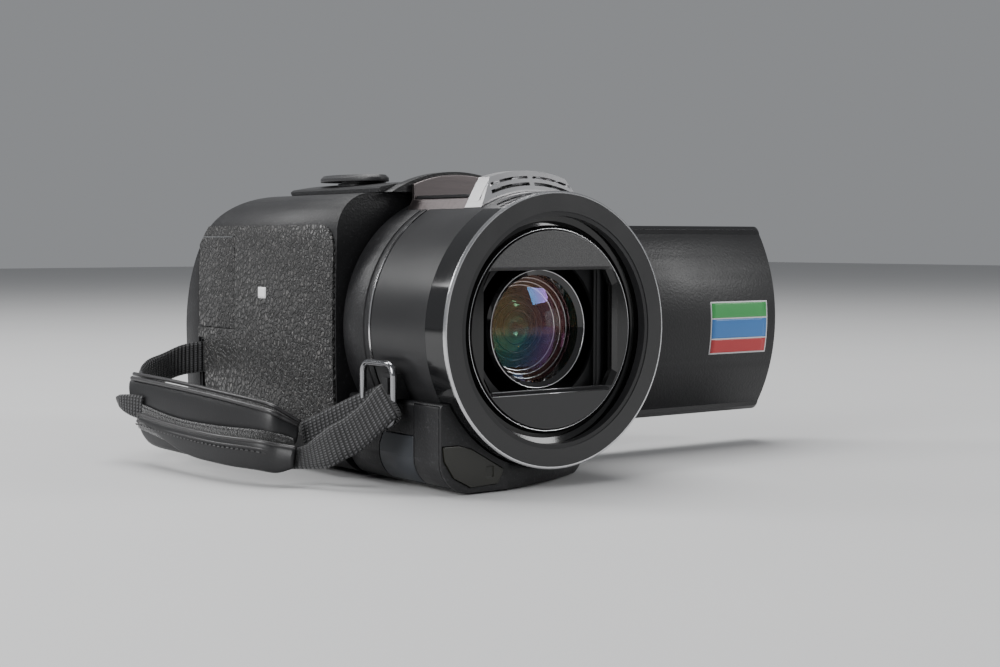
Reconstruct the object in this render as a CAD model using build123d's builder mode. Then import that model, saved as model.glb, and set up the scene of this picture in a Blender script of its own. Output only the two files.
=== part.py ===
from build123d import *
import os
from math import sqrt

# Palm-held camcorder. Millimetres, +Z up. The lens looks along -Y, the flip-out screen is on +X
# and the hand grip and strap are on -X. The origin is the mouth of the tripod socket, in the base.

# ---- driving dimensions -------------------------------------------------------------------------
LENS_Z = 38.0            # height of the lens axis over the base
HOOD_R = 33.5            # outer radius of the hood ring and of the barrel
HOOD_FRONT = -62.0       # front face of the hood ring
HOOD_REAR = -54.0
FILTER_R = 27.5          # 55 mm filter thread
MASK_R = 24.4            # round mask in front of the lens
APERTURE_X, APERTURE_Z = 35.2, 28.9
SLEEVE_REAR = -29.6
BAND_REAR = -17.4        # rear face of the front cover; a dark groove lies between it and the case
CASE_FRONT, CASE_REAR = -15.4, 69.5
CASE_GRIP, CASE_BULGE = -33.4, 1.1
CASE_LCD = 24.6          # floor of the bay that the closed screen lies in
CASE_TOP, CASE_BASE = 71.7, 0.3
CASE_CORNER = 10.0
REAR_ARC_Y, REAR_ARC_Z, REAR_ARC_R = 31.5, 33.7, 38.0
REAR_PLAN_R = 8.0
WALL = 1.8
GAP = 0.2                # shut line between two covers

PEDESTAL_LEFT, PEDESTAL_RIGHT = -31.8, 24.0
PEDESTAL_TOP, PEDESTAL_FRONT, PEDESTAL_CORNER = 21.5, -58.0, 8.0

BATTERY_X, BATTERY_Y, BATTERY_Z = 31.8, 33.0, 45.0
BATTERY_LEFT, BATTERY_BOTTOM = -8.4, 17.5
BATTERY_FACE = 59.9      # the face that the battery slides on
BAY_LEFT, BAY_BOTTOM = -9.6, 13.0

SWING_X, SWING_Y = 30.0, -21.5      # vertical axis of the screen's hinge
LCD_NEAR, LCD_FAR = 34.5, 109.0
LCD_BACK, LCD_FACE = -29.5, -17.0   # outermost point of the back shell, and the screen's face
LCD_BOTTOM, LCD_TOP = 9.3, 63.7
LCD_MID_Y = (LCD_BACK + LCD_FACE) / 2
LCD_MID_Z = (LCD_BOTTOM + LCD_TOP) / 2

PIVOT_Y = -30.0          # centre of the stabiliser gimbal
LENS_R = 15.2

os.makedirs("parts", exist_ok=True)


def across(y):
    """A plane square to the lens axis at y: sketch x is +X, sketch y is +Z, extrude goes to -Y."""
    return Plane(origin=(0, y, 0), x_dir=(1, 0, 0), z_dir=(0, -1, 0))


def lens_plane(y):
    """The same plane with its origin on the lens axis."""
    return Plane(origin=(0, y, LENS_Z), x_dir=(1, 0, 0), z_dir=(0, -1, 0))


def side(x):
    """A plane square to X: sketch x is +Y, sketch y is +Z, extrude goes to +X."""
    return Plane(origin=(x, 0, 0), x_dir=(0, 1, 0), z_dir=(1, 0, 0))


def save(piece, name):
    piece.part.label = name
    export_step(piece.part, f"parts/{name}.step")


def box_at(low, high, mode=Mode.ADD):
    """A box between two opposite corners."""
    size = [b - a for a, b in zip(low, high)]
    centre = tuple((a + b) / 2 for a, b in zip(low, high))
    with Locations(centre):
        Box(*size, mode=mode)


def tube_at(y_front, y_rear, outer, inner=0.0, mode=Mode.ADD):
    """A tube or a rod about the lens axis."""
    with BuildSketch(lens_plane(y_rear)) as profile:
        Circle(outer)
        if inner:
            Circle(inner, mode=Mode.SUBTRACT)
    extrude(profile.sketch, amount=y_rear - y_front, mode=mode)


def ring_of(*outline, mode=Mode.ADD):
    """A ring turned about the lens axis from (radius, y) points."""
    with BuildSketch(Plane.XY.offset(LENS_Z)) as profile:
        with BuildLine():
            Polyline(*outline, close=True)
        make_face()
    revolve(profile.sketch, axis=Axis((0, 0, LENS_Z), (0, 1, 0)), revolution_arc=360, mode=mode)


def rod_at(centre, radius, length, axis, mode=Mode.ADD):
    """A rod centred on a point, along one of the three axes."""
    turn = {"X": (0, 90, 0), "Y": (90, 0, 0), "Z": (0, 0, 0)}[axis]
    with Locations(Location(centre, turn)):
        Cylinder(radius, length, mode=mode)


# ---- main case ----------------------------------------------------------------------------------
def case_section(inset, y):
    """Cross-section of the main case: a bulged grip side, rounded corners, a flat screen side."""
    left, right = CASE_GRIP + inset, CASE_LCD - inset
    low, high = CASE_BASE + inset, CASE_TOP - inset
    with BuildSketch(across(y)) as section:
        with BuildLine():
            ThreePointArc((left, low), (left - CASE_BULGE, (low + high) / 2), (left, high))
            Polyline((left, high), (right, high), (right, low), (left, low))
        make_face()
        by_x = vertices().sort_by(Axis.X)
        low_right, high_right = by_x[2:].sort_by(Axis.Y)
        fillet([*by_x[:2], high_right], CASE_CORNER - inset)
        fillet(low_right, 5.0)
    return section.sketch


def case_block(inset):
    """The main case as a solid, shrunk by inset."""
    front = CASE_FRONT + inset
    rear = CASE_REAR - inset
    with BuildPart() as block:
        extrude(case_section(inset, rear + 1), amount=rear + 1 - front)
        with BuildSketch(side(-60)):
            with BuildLine():
                radius = REAR_ARC_R - inset
                Polyline((front, -5), (front, 90), (REAR_ARC_Y, 90), (REAR_ARC_Y, REAR_ARC_Z + radius))
                RadiusArc((REAR_ARC_Y, REAR_ARC_Z + radius), (REAR_ARC_Y + radius, REAR_ARC_Z), radius)
                Polyline((REAR_ARC_Y + radius, REAR_ARC_Z), (rear, -5), (front, -5))
            make_face()
        extrude(amount=120, mode=Mode.INTERSECT)
        with BuildSketch(Plane.XY.offset(-5)):
            with BuildLine():
                Polyline((-60, front), (60, front), (60, rear), (-60, rear), close=True)
            make_face()
            left = CASE_GRIP - CASE_BULGE + inset
            with BuildLine():
                Polyline((-60, rear - REAR_PLAN_R), (left, rear - REAR_PLAN_R), (left, rear),
                         (left + REAR_PLAN_R, rear), (left + REAR_PLAN_R, rear + 9),
                         (-60, rear + 9), close=True)
            make_face(mode=Mode.SUBTRACT)
            with Locations((left + REAR_PLAN_R, rear - REAR_PLAN_R)):
                Circle(REAR_PLAN_R)
        extrude(amount=100, mode=Mode.INTERSECT)
        box_at((BAY_LEFT - inset, BATTERY_FACE - inset, BAY_BOTTOM - inset), (60, 90, 100), Mode.SUBTRACT)
    return block.part


case_outer = case_block(0.0)
case_inner = case_block(WALL)
BASE_LOW, BASE_HIGH = (-20.0, -44.0, 0.0), (17.0, 52.0, 1.8)


def cut_base_recess():
    """Room for the base plate, with a shut line all round."""
    box_at((BASE_LOW[0] - GAP, BASE_LOW[1] - GAP, -1),
           (BASE_HIGH[0] + GAP, BASE_HIGH[1] + GAP, 4.5), Mode.SUBTRACT)


DECK_HALF, DECK_REAR = 21.5, 30.0
TAIL_Z = 69.8            # shut line of the deck's tail, behind the zoom lever
DOOR_LOW, DOOR_HIGH = (38.0, 35.2), (59.6, 60.5)      # connector door, (y, z)
CARD_LOW, CARD_HIGH = (18.0, 14.0), (46.0, 24.0)      # card door in the screen bay, (y, z)
REAR_SEAM = 61.2
ANCHOR_SLOT = ((-40, 56.6, 12.0), (-27, 61.2, 32.0))  # where the strap enters the grip side
ZOOM_X, ZOOM_Y = -9.0, 12.0
PHOTO_X, PHOTO_Y = -12.0, 38.0

with BuildPart() as case_shell:
    add(case_outer)
    add(case_inner, mode=Mode.SUBTRACT)
    tube_at(CASE_FRONT - 1, CASE_FRONT + 3, 31.5, mode=Mode.SUBTRACT)
    cut_base_recess()

with BuildPart() as right_cover:
    add(case_shell.part)
    box_at((-60, -60, -5), (-GAP / 2, REAR_SEAM - GAP / 2, 100), Mode.INTERSECT)
    box_at((-24.5, DECK_REAR, TAIL_Z), (5, 90, 90), Mode.SUBTRACT)
    low, high = DOOR_LOW, DOOR_HIGH
    box_at((-40, low[0] - GAP, low[1] - GAP), (-25, high[0] + GAP, high[1] + GAP), Mode.SUBTRACT)
    box_at((-11.9, 57.7, -5), (5, 90, 90), Mode.SUBTRACT)
    box_at(*ANCHOR_SLOT, Mode.SUBTRACT)
    rod_at((PHOTO_X, PHOTO_Y, 70), 4.3, 10, "Z", Mode.SUBTRACT)
save(right_cover, "right_cover")

BAY_BUTTONS = {"power_button": (47.0, 55.0), "play_button": (32.0, 55.0)}      # (y, z)
with BuildPart() as left_cover:
    add(case_shell.part)
    box_at((GAP / 2, -60, -5), (60, 57.6, 100), Mode.INTERSECT)
    box_at((-5, DECK_REAR, TAIL_Z), (24.5, 90, 90), Mode.SUBTRACT)
    low, high = CARD_LOW, CARD_HIGH
    box_at((20, low[0] - GAP, low[1] - GAP), (30, high[0] + GAP, high[1] + GAP), Mode.SUBTRACT)
    for y, z in BAY_BUTTONS.values():
        rod_at((CASE_LCD, y, z), 3.4, 8, "X", Mode.SUBTRACT)
    with BuildSketch(side(CASE_LCD - 4)):
        with Locations((5, 52)):
            with GridLocations(2.6, 0, 6, 1):
                SlotOverall(14, 1.2, rotation=90)
    extrude(amount=6, mode=Mode.SUBTRACT)
save(left_cover, "left_cover")

with BuildPart() as rear_cover:
    add(case_shell.part)
    box_at((-60, 57.8, -5), (60, 90, 100), Mode.INTERSECT)
    box_at((-60, 50, -5), (-11.7, REAR_SEAM + GAP / 2, 100), Mode.SUBTRACT)
    box_at((-24.5, 50, TAIL_Z), (30, 90, 90), Mode.SUBTRACT)
    rod_at((-21, 68, 42), 5.9, 12, "Y", Mode.SUBTRACT)
    rod_at((-21, 68, 27), 2.9, 12, "Y", Mode.SUBTRACT)
    box_at((2, 62, 3.8), (18, 75, 10.2), Mode.SUBTRACT)
save(rear_cover, "rear_cover")

# Roof: a deck over the seam of the two side covers, an arched rib behind the accessory shoe,
# and a tail that follows the case down at the rear.
with BuildPart() as top_cover:
    with BuildSketch(across(DECK_REAR)):
        with BuildLine():
            Polyline((-DECK_HALF + 0.8, 73.4), (-DECK_HALF, 72.9), (-DECK_HALF, CASE_TOP + 0.1),
                     (DECK_HALF, CASE_TOP + 0.1), (DECK_HALF, 72.9), (DECK_HALF - 0.8, 73.4))
            ThreePointArc((DECK_HALF - 0.8, 73.4), (0, 75.3), (-DECK_HALF + 0.8, 73.4))
        make_face()
    extrude(amount=DECK_REAR - CASE_FRONT)
    ring_of((36.0, -19.2), (39.4, -19.2), (39.4, CASE_FRONT), (36.0, CASE_FRONT))
    box_at((-DECK_HALF, -25, 71.9), (DECK_HALF, DECK_REAR, 90), Mode.INTERSECT)
    chamfer(edges().filter_by(Axis.X).group_by(Axis.Y)[-1].sort_by(Axis.Z)[-1:], 0.5)
    with BuildPart(mode=Mode.PRIVATE) as tail:
        add(case_outer)
        add(case_inner, mode=Mode.SUBTRACT)
        box_at((-24.3, DECK_REAR + GAP, TAIL_Z + GAP), (24.3, 90, 90), Mode.INTERSECT)
    add(tail.part)
    box_at((-17, DECK_REAR + 2 * GAP, 70.5), (17, DECK_REAR + 1.6, 72.4))
    box_at((-17, DECK_REAR - 0.5, 71.9), (17, DECK_REAR + 1.6, 72.4))
    rod_at((ZOOM_X, ZOOM_Y, 74), 7.4, 9, "Z", Mode.SUBTRACT)
    rod_at((PHOTO_X, PHOTO_Y, 72), 4.3, 12, "Z", Mode.SUBTRACT)
save(top_cover, "top_cover")

with BuildPart() as bottom_plate:
    box_at(BASE_LOW, BASE_HIGH)
    fillet(edges().filter_by(Axis.Z), 3)
    rod_at((0, 0, 0), 5.1, 10, "Z", Mode.SUBTRACT)
    for x, y in ((-15, -38), (12, -38), (-15, 46), (12, 46)):
        with Locations(Location((x, y, 0), (180, 0, 0))):
            CounterBoreHole(1.1, 2.2, 0.9, 4)
save(bottom_plate, "bottom_plate")

with BuildPart() as tripod_socket:
    rod_at((0, 0, 3.25), 5.0, 6.5, "Z")
    rod_at((0, 0, 2.75), 2.6, 5.5, "Z", Mode.SUBTRACT)
    with BuildSketch(Plane.XY.offset(1.9)):
        RectangleRounded(18, 14, 3)
        Circle(4.9, mode=Mode.SUBTRACT)
    extrude(amount=1.2)
save(tripod_socket, "tripod_socket")

LEATHER_FRONT, LEATHER_REAR = CASE_FRONT + 0.4, 60.2
LEATHER_BASE, LEATHER_TOP, SKIN = 9.0, 63.6, 0.8

# Leather panel over the grip side, with the connector door let into it.
with BuildPart() as grip_skin:
    side_r = ((CASE_TOP - CASE_BASE) ** 2 / 4 + CASE_BULGE ** 2) / (2 * CASE_BULGE)
    with BuildSketch(across(LEATHER_REAR + 1)):
        with Locations((CASE_GRIP - CASE_BULGE + side_r, (CASE_TOP + CASE_BASE) / 2)):
            Circle(side_r + SKIN)
            Circle(side_r, mode=Mode.SUBTRACT)
        with Locations((CASE_GRIP, (LEATHER_BASE + LEATHER_TOP) / 2)):
            Rectangle(8, LEATHER_TOP - LEATHER_BASE + 2, mode=Mode.INTERSECT)
    extrude(amount=LEATHER_REAR - LEATHER_FRONT + 2)
    with BuildSketch(side(-60)):
        with BuildLine():
            Polyline((LEATHER_FRONT, LEATHER_BASE), (LEATHER_FRONT, LEATHER_TOP),
                     (LEATHER_REAR, LEATHER_TOP), (LEATHER_REAR, LEATHER_BASE), close=True)
        make_face()
        fillet(vertices().group_by(Axis.X)[0], 7)
        fillet(vertices().group_by(Axis.X)[-1], 2)
    extrude(amount=40, mode=Mode.INTERSECT)
    with BuildSketch(side(-60)):
        with Locations((REAR_ARC_Y, REAR_ARC_Z)):
            Circle(REAR_ARC_R - 0.6)
        with Locations((0, REAR_ARC_Z)):
            Rectangle(2 * REAR_ARC_Y, 2 * REAR_ARC_R)
    extrude(amount=40, mode=Mode.INTERSECT)

with BuildPart() as grip_panel:
    add(grip_skin.part)
    low, high = DOOR_LOW, DOOR_HIGH
    box_at((-60, low[0] - GAP, low[1] - GAP), (-20, LEATHER_REAR + 1, high[1] + GAP), Mode.SUBTRACT)
    box_at(*ANCHOR_SLOT, Mode.SUBTRACT)
save(grip_panel, "grip_panel")

with BuildPart() as connector_door:
    add(grip_skin.part)
    with BuildPart(mode=Mode.PRIVATE) as backing:
        add(case_outer)
        add(case_inner, mode=Mode.SUBTRACT)
        box_at((-60, 30, 20), (-31.5, 62, 70), Mode.INTERSECT)
    add(backing.part)
    box_at((-60, DOOR_LOW[0], DOOR_LOW[1]), (-20, DOOR_HIGH[0], DOOR_HIGH[1]), Mode.INTERSECT)
save(connector_door, "connector_door")

# ---- front cover: band behind the barrel and the pedestal under it --------------------------------
SWEEP_START, SWEEP_MIDDLE, SWEEP_END = (-12.5, PEDESTAL_FRONT), (9.0, -51.0), (25.0, -41.5)


def pedestal_block(inset, front, rear):
    """The foot that carries the round barrel. In plan its front sweeps back towards the screen side."""
    left, right, low = PEDESTAL_LEFT + inset, PEDESTAL_RIGHT - inset, CASE_BASE + inset
    with BuildPart() as block:
        with BuildSketch(across(rear)):
            with BuildLine():
                Polyline((left, low), (left, PEDESTAL_TOP - inset), (right, PEDESTAL_TOP - inset),
                         (right, low), close=True)
            make_face()
            fillet(vertices().group_by(Axis.Y)[0], PEDESTAL_CORNER - inset)
            fillet(vertices().group_by(Axis.Y)[-1], 1.0)
        extrude(amount=rear - front)
        with BuildSketch(Plane.XY.offset(-1)):
            with BuildLine():
                Polyline((SWEEP_START[0], front), (left - 1, front), (left - 1, rear), (right + 1, rear),
                         (right + 1, SWEEP_END[1] + inset))
                ThreePointArc((right + 1, SWEEP_END[1] + inset), (SWEEP_MIDDLE[0], SWEEP_MIDDLE[1] + inset),
                              (SWEEP_START[0], front))
            make_face()
        extrude(amount=40, mode=Mode.INTERSECT)
    return block.part


SHOE_FRONT, SHOE_REAR = -44.9, -19.6


def shoe_cut(clearance):
    """Trapezoid that the accessory shoe's tray takes out of the barrel."""
    with BuildSketch(across(SHOE_REAR + clearance)) as outline:
        with BuildLine():
            Polyline((-16.2 - clearance, 66.2), (-13.6 - clearance, 80), (13.6 + clearance, 80),
                     (16.2 + clearance, 66.2), (14, 64.4 - clearance), (-14, 64.4 - clearance),
                     close=True)
        make_face()
    extrude(outline.sketch, amount=SHOE_REAR - SHOE_FRONT + 2 * clearance, mode=Mode.SUBTRACT)


JACK_DOOR = ((-57.0, 1.6), (-57.0, 20.9), (-46.8, 20.9), (-46.8, 1.6))
PHONES_DOOR = ((-46.2, 1.6), (-46.2, 13.2), (-33.2, 13.2), (-31.4, 10.0), (-31.4, 1.6))
PEDESTAL_SKIN = 1.5
pedestal_outer = pedestal_block(0.0, PEDESTAL_FRONT, BAND_REAR)
pedestal_inner = pedestal_block(PEDESTAL_SKIN, PEDESTAL_FRONT + 1.8, BAND_REAR)


def door_region(points, grow, mode):
    """Extrude a door's outline, grown by its shut line, through the grip side of the pedestal."""
    with BuildSketch(side(-40)) as outline:
        with BuildLine():
            Polyline(*points, close=True)
        make_face()
        if grow:
            offset(amount=grow, kind=Kind.INTERSECTION)
    extrude(outline.sketch, amount=13.5, mode=mode)


IR_OUTLINE = ((-31.4, 11.7), (-27, 11.7), (-23.3, 10.7), (-13.9, 5.3), (-15.7, 1.9), (-23.6, 1.6),
              (-28.4, 4.2), (-31.0, 8.3))
RING_Y, RING_Z = (-43.4, -29.8), (15.8, 30.2)      # the strap's wire loop
DIAL_X, DIAL_Y, DIAL_Z, DIAL_R = 23.4, -35.0, 8.2, 4.6

with BuildPart() as front_cover:
    add(pedestal_outer)
    tube_at(-29.5, BAND_REAR, HOOD_R)
    add(pedestal_inner, mode=Mode.SUBTRACT)
    tube_at(-58.5, -54.0, HOOD_R + 0.3, mode=Mode.SUBTRACT)
    tube_at(-54.5, -29.5, HOOD_R + 0.1, mode=Mode.SUBTRACT)
    tube_at(-60, 0, 31.5, mode=Mode.SUBTRACT)
    ring_of((34, -27.6), (32.6, -27.0), (34, -26.4), mode=Mode.SUBTRACT)
    cut_base_recess()
    shoe_cut(0.15)
    box_at((-30, -17.5, 71.8), (30, -10, 90), Mode.SUBTRACT)
    door_region(JACK_DOOR, GAP, Mode.SUBTRACT)
    door_region(PHONES_DOOR, GAP, Mode.SUBTRACT)
    with BuildSketch(across(-57.2)):
        with BuildLine():
            Polyline(*IR_OUTLINE, close=True)
        make_face()
        offset(amount=0.15, kind=Kind.INTERSECTION)
    extrude(amount=3, mode=Mode.SUBTRACT)
    box_at((20, -26.6, 8), (40, -10, 66), Mode.SUBTRACT)
    rod_at((DIAL_X + 1, DIAL_Y, DIAL_Z), DIAL_R + 0.5, 6, "X", Mode.SUBTRACT)
save(front_cover, "front_cover")

for name, outline in (("jack_door", JACK_DOOR), ("headphone_cover", PHONES_DOOR)):
    with BuildPart() as door:
        add(pedestal_outer)
        add(pedestal_block(PEDESTAL_SKIN, PEDESTAL_FRONT - 1, BAND_REAR + 1), mode=Mode.SUBTRACT)
        door_region(outline, 0, Mode.INTERSECT)
        tube_at(-60, -15, HOOD_R + 0.3, mode=Mode.SUBTRACT)
    save(door, name)

# Sockets behind the three doors: two round audio jacks, and a plate with three flat ports.
with BuildPart() as jack_sockets:
    for y, z in ((-51.5, 7.8), (-38.0, 7.4)):
        rod_at((-25.5, y, z), 3.2, 6.2, "X")
        box_at((-26.5, y - 3.6, z - 3.6), (-22.4, y + 3.6, z + 3.6))
        rod_at((-26.4, y, z), 1.8, 7.0, "X", Mode.SUBTRACT)
    box_at((-31.0, 39.5, 36.5), (-29.8, 54.5, 57.4))
    for z, height in ((53, 3.2), (46, 5.6), (39.5, 2.8)):
        box_at((-29.8, 41, z - height / 2 - 0.6), (-21, 53, z + height / 2 + 0.6))
        box_at((-32, 42, z - height / 2), (-24, 52, z + height / 2), Mode.SUBTRACT)
save(jack_sockets, "jack_sockets")

with BuildPart() as ir_window:
    with BuildSketch(across(-57.3)):
        with BuildLine():
            Polyline(*IR_OUTLINE, close=True)
        make_face()
    extrude(amount=1.2)
    box_at((-19.2, -59, 3.6), (-17.0, -58.2, 6.2), Mode.SUBTRACT)
save(ir_window, "ir_window")

# ---- barrel, hood ring and mask -------------------------------------------------------------------
with BuildPart() as barrel_sleeve:
    tube_at(HOOD_REAR + 0.05, SLEEVE_REAR, HOOD_R, 31.5)
    shoe_cut(0.15)
    ring_of((33.2, -30.3), (34, -30.3), (34, SLEEVE_REAR + 1), (33.2, SLEEVE_REAR + 1),
            mode=Mode.SUBTRACT)
save(barrel_sleeve, "barrel_sleeve")

with BuildPart() as barrel_trim:
    ring_of((33.2, -30.2), (33.7, -30.2), (33.7, SLEEVE_REAR), (33.2, SLEEVE_REAR))
    box_at((-40, -40, 29), (-10, -20, 64), Mode.INTERSECT)
save(barrel_trim, "barrel_trim")

with BuildPart() as hood_ring:
    ring_of((HOOD_R, HOOD_REAR), (HOOD_R, -61.3), (32.9, -61.3), (32.9, HOOD_FRONT),
            (28.6, HOOD_FRONT), (28.6, -55.4), (31.4, -55.4), (31.4, HOOD_REAR))
save(hood_ring, "hood_ring")

with BuildPart() as hood_edge_trim:
    ring_of((32.9, -61.3), (HOOD_R, -61.3), (HOOD_R, -61.75), (33.2, -62.05), (32.9, -62.05))
save(hood_edge_trim, "hood_edge_trim")

THREAD_FRONT, THREAD_REAR = -61.8, -59.5
with BuildPart() as filter_thread_ring:
    ring_of((FILTER_R, THREAD_FRONT), (28.6, THREAD_FRONT), (28.6, THREAD_REAR), (FILTER_R, THREAD_REAR))
save(filter_thread_ring, "filter_thread_ring")

MASK_FRONT, MASK_REAR = -59.4, -56.6


def opening(grow=0.0):
    """Outline of the opening, wider at mid-height than along its top and bottom edges."""
    x, z = APERTURE_X / 2 + grow, APERTURE_Z / 2 + grow
    wide, level = x + 2.2, z - 4.0
    Polygon((x, z), (-x, z), (-wide, level), (-wide, -level), (-x, -z), (x, -z), (wide, -level), (wide, level),
            align=None)


with BuildPart() as lens_mask:
    ring_of((0, MASK_FRONT), (MASK_R - 0.4, MASK_FRONT), (MASK_R, -59.0), (25.3, -58.0),
            (26.3, -57.8), (28.55, -58.4), (28.55, MASK_REAR), (0, MASK_REAR))
    with BuildSketch(lens_plane(MASK_REAR + 1)):
        opening()
    extrude(amount=10, mode=Mode.SUBTRACT)
    with BuildSketch(lens_plane(MASK_FRONT)):
        opening(0.8)
    with BuildSketch(lens_plane(MASK_FRONT + 1.2)):
        opening()
    loft(mode=Mode.SUBTRACT)
save(lens_mask, "lens_mask")

# Lens cover: two leaves above and two below, which telescope over the aperture.
LEAF_X, LEAF_HEIGHT, LEAF_THICK = 20.0, 7.5, 0.45
LEAF_OPEN = APERTURE_Z / 2 + 0.15
for name, y, way in (("upper_inner_leaf", -56.3, 1), ("upper_outer_leaf", -55.6, 1),
                     ("lower_inner_leaf", -56.3, -1), ("lower_outer_leaf", -55.6, -1)):
    with BuildPart() as leaf:
        near, far = LENS_Z + way * LEAF_OPEN, LENS_Z + way * (LEAF_OPEN + LEAF_HEIGHT)
        box_at((-LEAF_X, y, min(near, far)), (LEAF_X, y + LEAF_THICK, max(near, far)))
        fillet(edges().filter_by(Axis.Y).group_by(Axis.Z)[-1 if way > 0 else 0], 4)
    save(leaf, name)

# ---- frame and lens unit ----------------------------------------------------------------------------
with BuildPart() as chassis_frame:
    tube_at(-53.2, -52.0, 31.2, 18.6)
    tube_at(-53.2, -12.0, 31.2, 29.6)
    shoe_cut(0.3)
    for way in (1, -1):
        rod_at((0, PIVOT_Y, LENS_Z + way * 21.9), 1.2, 4.6, "Z")
        box_at((-3, PIVOT_Y - 4, LENS_Z + min(way * 23.0, way * 24.4)),
               (3, PIVOT_Y + 4, LENS_Z + max(way * 23.0, way * 24.4)))
    for x in (-26.5, 25.5):
        box_at((x, -45, LENS_Z - 14), (x + 1.0, PIVOT_Y + 8, LENS_Z + 14))
    box_at((-3, -34, LENS_Z + 24.0), (3, -12, LENS_Z + 25.4))
    box_at((-3, -34, LENS_Z - 29.9), (3, PIVOT_Y + 4, LENS_Z - 24.0))
    box_at((-24, -13.2, LENS_Z - 30.6), (18, -12.0, LENS_Z + 25.4))
    tube_at(-14, -11, 22, mode=Mode.SUBTRACT)
    box_at((19.8, -27.2, 8), (40, -5, 66), Mode.SUBTRACT)
    box_at((-26, -12.0, 5.2), (17, 56, 6.4))
    rod_at((0, 0, 5), 5.2, 6, "Z", Mode.SUBTRACT)
    box_at((-3, -12.6, 6.0), (3, -12.0, 10.0))
    box_at((-26, 54.8, 6.0), (17, 56, 30))
save(chassis_frame, "chassis_frame")

with BuildPart() as gimbal_ring:
    tube_at(PIVOT_Y - 2.6, PIVOT_Y + 2.6, 20.4, 18.0)
    rod_at((0, PIVOT_Y, LENS_Z), 1.25, 60, "Z", Mode.SUBTRACT)
    for way in (1, -1):
        rod_at((way * 16.9, PIVOT_Y, LENS_Z), 1.2, 2.6, "X")
save(gimbal_ring, "gimbal_ring")

LENS_FRONT, LENS_REAR = -53.6, 12.0
GLASS_RIM_R, GLASS_FRONT, GLASS_CURVE = 13.2, -52.4, 35.6
with BuildPart() as lens_barrel:
    ring_of((GLASS_RIM_R, -52.8), (14.5, LENS_FRONT), (LENS_R, -52.9), (LENS_R, -20), (17.0, -19),
            (17.0, LENS_REAR), (8.0, LENS_REAR), (8.0, -36), (9.2, -44.0), (GLASS_RIM_R, -49.0))
    rod_at((0, PIVOT_Y, LENS_Z), 1.25, 40, "X", Mode.SUBTRACT)
save(lens_barrel, "lens_barrel")

with BuildPart() as front_glass:
    tube_at(GLASS_FRONT, -49.35, 13.1)
    with Locations((0, GLASS_FRONT + GLASS_CURVE, LENS_Z)):
        Sphere(GLASS_CURVE, mode=Mode.INTERSECT)
save(front_glass, "front_glass")

with BuildPart() as zoom_lens_group:
    ring_of((0, -37.5), (4.5, -37.0), (5.8, -36.0), (7.8, -35.6), (7.8, -30), (0, -30))
    ring_of((0, -26), (7.8, -26), (7.8, -22), (0, -22))
save(zoom_lens_group, "zoom_lens_group")

with BuildPart() as image_sensor:
    box_at((-12, 12.0, LENS_Z - 11), (12, 13.4, LENS_Z + 11))
    box_at((-5, 11.0, LENS_Z - 4), (5, 12.0, LENS_Z + 4))
save(image_sensor, "image_sensor")

with BuildPart() as main_board:
    box_at((20.2, -10, 8), (21.2, 51, 60))
    for y, z, size in ((20, 38, 14), (40, 44, 10), (2, 26, 8)):
        box_at((18.6, y - size / 2, z - size / 2), (20.2, y + size / 2, z + size / 2))
    for y, z in BAY_BUTTONS.values():
        box_at((21.2, y - 2, z - 2), (22.0, y + 2, z + 2))
    box_at((18, 17.5, 13.0), (23, 46.5, 25.0), Mode.SUBTRACT)
save(main_board, "main_board")

with BuildPart() as speaker:
    rod_at((22.2, 5, 52), 7.4, 1.0, "X")
    rod_at((21.6, 5, 52), 5.0, 0.6, "X")
save(speaker, "speaker")

with BuildPart() as card_slot:
    box_at((8, 19.5, 14.6), (21.0 - 1.2, 45, 23.2))
    box_at((6, 20.7, 17.6), (25, 44, 20.4), Mode.SUBTRACT)
    box_at((6, 19, 13), (9, 46, 24))
save(card_slot, "card_slot")

with BuildPart() as card_door:
    box_at((CASE_LCD - WALL, CARD_LOW[0], CARD_LOW[1]), (CASE_LCD, CARD_HIGH[0], CARD_HIGH[1]))
    fillet(edges().filter_by(Axis.X), 0.8)
    box_at((CASE_LCD - 0.5, 40, 17), (CASE_LCD + 1, 44, 21), Mode.SUBTRACT)
save(card_door, "card_door")

# ---- roof: microphone grille, accessory shoe --------------------------------------------------------
GRILLE_REAR = -45.2
GRILLE_SLOPE = (16.9, 66.0, 9.8, 78.0)     # half width at two heights
with BuildPart() as mic_grille:
    ring_of((33.6, -52.0), (34.0, -52.0), (38.7, -49.5), (38.7, GRILLE_REAR), (33.6, GRILLE_REAR))
    ring_of((34.6, -50.4), (37.8, -49.0), (37.8, -46.4), (34.6, -46.4), mode=Mode.SUBTRACT)
    w1, z1, w2, z2 = GRILLE_SLOPE
    with BuildSketch(across(-40)):
        with BuildLine():
            Polyline((-w1, z1), (-w2, z2), (w2, z2), (w1, z1), close=True)
        make_face()
    extrude(amount=20, mode=Mode.INTERSECT)
    with BuildPart(mode=Mode.PRIVATE) as slots:
        ring_of((35.0, -54), (35.8, -54), (35.8, -48), (35.0, -48))
        ring_of((36.74, -54), (37.38, -54), (37.38, -48), (36.74, -48))
        box_at((-12.2, -60, 66), (12.6, -40, 80), Mode.INTERSECT)
        box_at((-0.7, -60, 60), (0.7, -40, 80), Mode.SUBTRACT)
    add(slots.part, mode=Mode.SUBTRACT)
    for way in (1, -1):
        with BuildSketch(across(GRILLE_REAR)):
            with BuildLine():
                Polyline((way * 15.2, 69.0), (way * 12.4, 73.8), (way * 11.2, 73.0), (way * 14.3, 69.0),
                         close=True)
            make_face()
        extrude(amount=4.6)
save(mic_grille, "mic_grille")

with BuildPart() as mic_capsules:
    for x in (-9.0, -3.5, 3.5, 9.0):
        rod_at((x, -47.8, LENS_Z + sqrt(36.2 ** 2 - x ** 2)), 1.2, 2.4, "Y")
save(mic_capsules, "mic_capsules")

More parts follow.
